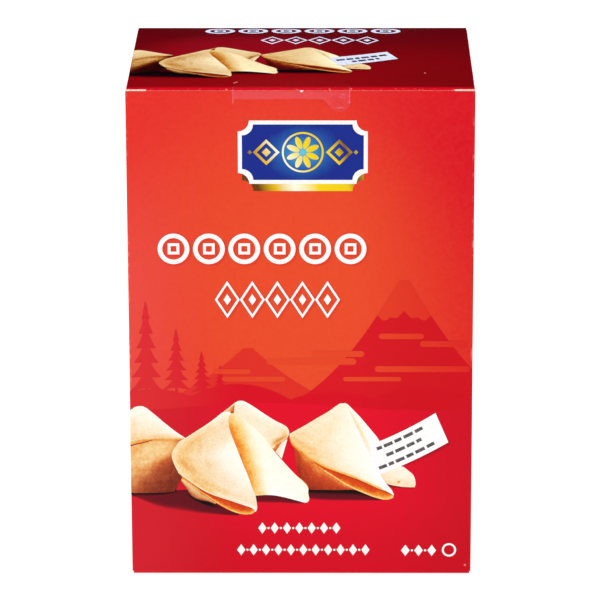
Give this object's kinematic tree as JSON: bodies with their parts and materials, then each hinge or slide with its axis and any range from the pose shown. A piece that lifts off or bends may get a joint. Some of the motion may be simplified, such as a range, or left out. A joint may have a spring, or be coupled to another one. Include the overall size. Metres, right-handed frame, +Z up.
{
  "type": "fortune cookie carton",
  "caption": "Shut tuck-end folding carton for wrapped fortune cookies, its lid held by a clear film tab over the front edge.",
  "frame": {"origin": "middle of the base, on the surface that the carton stands on", "axes": "+Z up the carton's height; -Y out of the front panel; +X to the right of someone facing the front panel"},
  "size_m": [0.13, 0.1001, 0.1943],
  "materials": {
    "printed_board": "satin varnish over offset print, bare grey-white fibre at the cut edges",
    "clear_film": "glossy clear film"
  },
  "bodies": {
    "root": {"carton": "printed_board", "closure_seal": "clear_film"}
  },
  "joints": []
}
